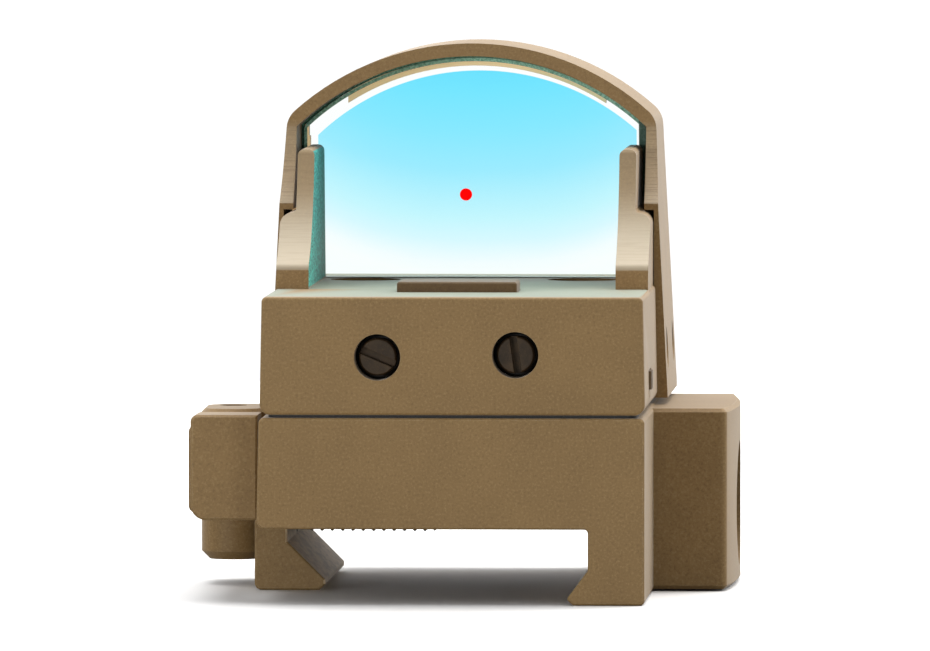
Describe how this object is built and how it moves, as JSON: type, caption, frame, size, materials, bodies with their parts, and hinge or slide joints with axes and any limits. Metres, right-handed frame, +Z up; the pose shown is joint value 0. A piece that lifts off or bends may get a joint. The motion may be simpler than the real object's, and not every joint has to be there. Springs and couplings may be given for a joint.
{
  "type": "red dot finder",
  "caption": "Open reflex red dot finder in a tan hooded housing, on a quick-release rail clamp with a cam lever.",
  "frame": {"origin": "on the rail's top plane, under the sight's line, level with the draw bolt's axis", "axes": "+X to the user's right, +Y forward along the rail and the line of sight, +Z up"},
  "size_m": [0.0363, 0.046, 0.0365],
  "materials": {
    "tan_coat": "matt tan hard coat on aluminium",
    "dark_steel": "black oxide",
    "spring_steel": "satin",
    "bronze_screw": "dark brown oxide",
    "coated_lens": "dichroic coated",
    "clear_glass": "polished",
    "rubber_black": "matt",
    "seal_teal": "satin adhesive bead",
    "brass": "machined",
    "cell_steel": "satin plated",
    "board_green": "solder mask",
    "chip_black": "moulded",
    "stage_alloy": "milled",
    "led_red": "clear red"
  },
  "bodies": {
    "root": {"mount_base": "tan_coat", "housing": "tan_coat", "lens_hood": "tan_coat", "emitter_cover": "tan_coat", "bottom_cover": "tan_coat", "nut_washer": "dark_steel", "guide_pins": "spring_steel", "locating_pins": "spring_steel", "mounting_screws": "dark_steel", "hood_screws": "dark_steel", "cover_screws": "dark_steel", "jaw_springs": "spring_steel", "elevation_spring": "spring_steel", "windage_spring": "spring_steel", "adjuster_orings": "rubber_black", "mounting_gasket": "rubber_black", "cover_gasket": "rubber_black", "lens_seal": "seal_teal", "objective_lens": "coated_lens", "emitter_window": "clear_glass", "sensor_window": "clear_glass", "coin_cell": "cell_steel", "negative_contact": "brass", "positive_contact": "brass", "circuit_board": "board_green", "board_chips": "chip_black", "light_sensor": "chip_black", "switch_body": "chip_black"},
    "nut": {"tension_nut": "dark_steel"},
    "bolt": {"draw_bolt": "dark_steel", "lever_pivot_pin": "dark_steel"},
    "lever": {"cam_lever": "tan_coat"},
    "jaw": {"clamp_jaw": "tan_coat"},
    "elevation_screw": {"elevation_adjuster": "bronze_screw", "elevation_clip": "spring_steel"},
    "windage_screw": {"windage_adjuster": "bronze_screw", "windage_clip": "spring_steel"},
    "elevation_ramp": {"elevation_wedge": "brass"},
    "windage_ramp": {"windage_wedge": "brass"},
    "windage_stage": {"windage_carriage": "stage_alloy"},
    "emitter_stage": {"emitter_carriage": "stage_alloy", "led_emitter": "led_red", "reticle_mask": "chip_black"},
    "switch": {"power_switch": "chip_black"}
  },
  "joints": [
    {"name": "nut_turn", "type": "hinge", "parent": "root", "child": "nut", "pos_m": [0.016, 0, 0.00035], "axis": [1, 0, 0], "range_deg": [0, 720]},
    {"name": "bolt_draw", "type": "slide", "parent": "root", "child": "bolt", "axis": [1, 0, 0], "range_m": [-0.0014, 0]},
    {"name": "lever_swing", "type": "hinge", "parent": "bolt", "child": "lever", "pos_m": [-0.0162, 0, 0.00035], "axis": [0, 0, -1], "range_deg": [0, 150]},
    {"name": "jaw_open", "type": "slide", "parent": "bolt", "child": "jaw", "axis": [1, 0, 0], "range_m": [-0.0011, 0], "deforming": ["jaw_springs"]},
    {"name": "elevation_turn", "type": "hinge", "parent": "root", "child": "elevation_screw", "pos_m": [-0.00495, -0.025, 0.01137], "axis": [0, 1, 0], "range_deg": [-360, 360]},
    {"name": "elevation_feed", "type": "slide", "parent": "root", "child": "elevation_ramp", "axis": [0, 1, 0], "range_m": [-0.0003999, 0.0003999]},
    {"name": "windage_turn", "type": "hinge", "parent": "root", "child": "windage_screw", "pos_m": [0.00417, -0.025, 0.01153], "axis": [0, 1, 0], "range_deg": [-360, 360]},
    {"name": "windage_feed", "type": "slide", "parent": "root", "child": "windage_ramp", "axis": [0, 1, 0], "range_m": [-0.0003999, 0.0003999]},
    {"name": "windage_shift", "type": "slide", "parent": "root", "child": "windage_stage", "axis": [1, 0, 0], "range_m": [-0.0004, 0.0004], "deforming": ["windage_spring"]},
    {"name": "elevation_lift", "type": "slide", "parent": "windage_stage", "child": "emitter_stage", "axis": [0, 0, 1], "range_m": [-0.0004, 0.0004], "deforming": ["elevation_spring"]},
    {"name": "switch_slide", "type": "slide", "parent": "root", "child": "switch", "axis": [0, 1, 0], "range_m": [0, 0.002]}
  ],
  "couplings": [
    {"joint": "nut_turn", "follows": "bolt_draw", "rad_per_m": -8976},
    {"joint": "lever_swing", "follows": "jaw_open", "rad_per_m": -2380},
    {"joint": "elevation_turn", "follows": "elevation_feed", "rad_per_m": 15708},
    {"joint": "elevation_lift", "follows": "elevation_feed", "ratio": 1},
    {"joint": "windage_turn", "follows": "windage_feed", "rad_per_m": 15708},
    {"joint": "windage_shift", "follows": "windage_feed", "ratio": -1}
  ]
}
